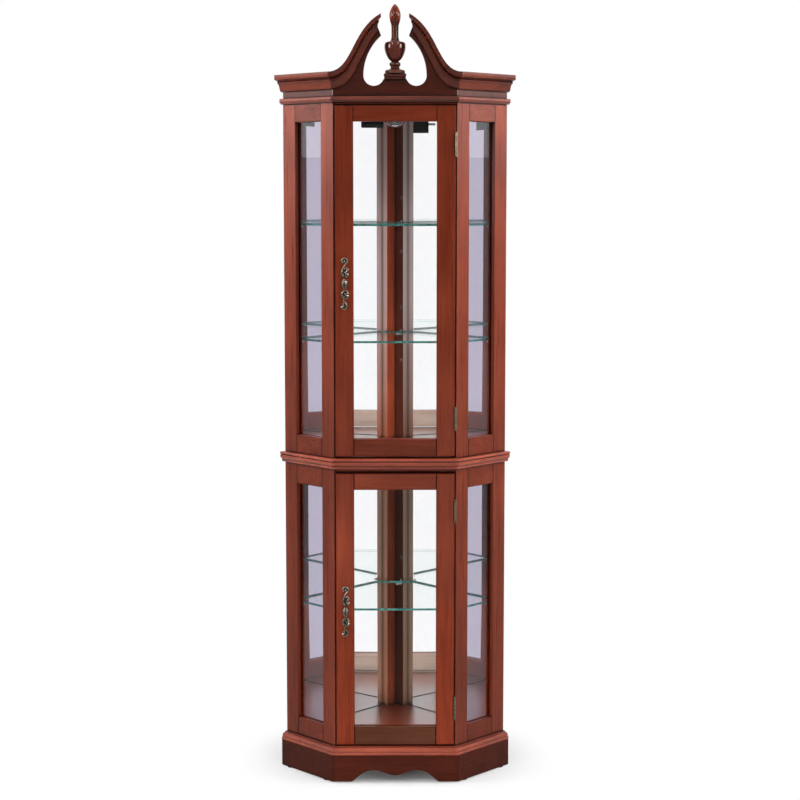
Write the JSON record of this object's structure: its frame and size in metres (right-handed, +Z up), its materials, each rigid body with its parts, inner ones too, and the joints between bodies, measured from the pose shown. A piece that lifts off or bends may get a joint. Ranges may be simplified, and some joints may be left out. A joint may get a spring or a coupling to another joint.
{
  "type": "china cabinet with glass doors",
  "caption": "Five-sided corner china cabinet with hinged glass doors, glazed slanted sides, mirrored back, glass shelves and a swan-neck pediment with a turned finial.",
  "frame": {"origin": "centre of the cabinet's box at floor level", "axes": "+Z up, the doors face -Y, +X to the right of someone facing the doors"},
  "size_m": [0.5594, 0.394, 1.8],
  "materials": {
    "mahogany": "stained and satin lacquered",
    "back_panel": "plain hardboard",
    "clear_glass": "clear float glass, polished edges",
    "mirror": "silvered",
    "antique_brass": "antiqued, worn bright on high spots",
    "chrome": "polished",
    "steel": "plated",
    "lamp_lens": "clear",
    "black_plastic": "moulded",
    "clip_plastic": "translucent"
  },
  "bodies": {
    "cabinet": {"base_moulding": "mahogany", "bottom_deck": "mahogany", "door_catches": "black_plastic", "door_stops": "mahogany", "finial": "mahogany", "finial_pedestal": "mahogany", "floor_glides": "black_plastic", "frame_hinge_leaves": "antique_brass", "frieze_boards": "mahogany", "hinge_pins": "antique_brass", "lamp_barrel": "black_plastic", "lamp_bezel": "chrome", "lamp_cable_clip": "chrome", "lamp_housing": "black_plastic", "lamp_lens": "lamp_lens", "lamp_switch_box": "black_plastic", "left_back_board": "back_panel", "left_front_stile": "mahogany", "left_mirrors": "mirror", "left_rear_stile": "mahogany", "left_side_glass": "clear_glass", "left_side_rails": "mahogany", "middle_deck": "mahogany", "outer_back_posts": "mahogany", "pediment_board": "mahogany", "plinth_back_rails": "mahogany", "plinth_front": "mahogany", "plinth_sides": "mahogany", "rear_corner_post": "mahogany", "right_back_board": "back_panel", "right_front_stile": "mahogany", "right_mirrors": "mirror", "right_rear_stile": "mahogany", "right_side_glass": "clear_glass", "right_side_rails": "mahogany", "scroll_mouldings": "mahogany", "shelf_pins": "clip_plastic", "side_cornices": "mahogany", "side_glazing_beads": "mahogany", "top_bead": "mahogany", "top_panel": "mahogany", "waist_moulding": "mahogany"},
    "upper_door": {"upper_door_glass": "clear_glass", "upper_door_glazing_beads": "mahogany", "upper_door_hinge_leaves": "antique_brass", "upper_door_pull": "antique_brass", "upper_door_rails": "mahogany", "upper_door_stiles": "mahogany", "upper_door_strike": "steel"},
    "lower_door": {"lower_door_glass": "clear_glass", "lower_door_glazing_beads": "mahogany", "lower_door_hinge_leaves": "antique_brass", "lower_door_pull": "antique_brass", "lower_door_rails": "mahogany", "lower_door_stiles": "mahogany", "lower_door_strike": "steel"},
    "upper_shelf": {"upper_shelf": "clear_glass"},
    "middle_shelf": {"middle_shelf": "clear_glass"},
    "lower_shelf": {"lower_shelf": "clear_glass"}
  },
  "joints": [
    {"name": "upper_door_hinge", "type": "hinge", "parent": "cabinet", "child": "upper_door", "pos_m": [0.1391, -0.17394, 1.1715], "axis": [0, 0, 1], "range_deg": [0, 110]},
    {"name": "lower_door_hinge", "type": "hinge", "parent": "cabinet", "child": "lower_door", "pos_m": [0.1391, -0.17394, 0.4085], "axis": [0, 0, 1], "range_deg": [0, 110]},
    {"name": "upper_shelf_lift", "type": "slide", "parent": "cabinet", "child": "upper_shelf", "axis": [0, 0, 1], "range_m": [0, 0.03]},
    {"name": "middle_shelf_lift", "type": "slide", "parent": "cabinet", "child": "middle_shelf", "axis": [0, 0, 1], "range_m": [0, 0.03]},
    {"name": "lower_shelf_lift", "type": "slide", "parent": "cabinet", "child": "lower_shelf", "axis": [0, 0, 1], "range_m": [0, 0.03]}
  ]
}
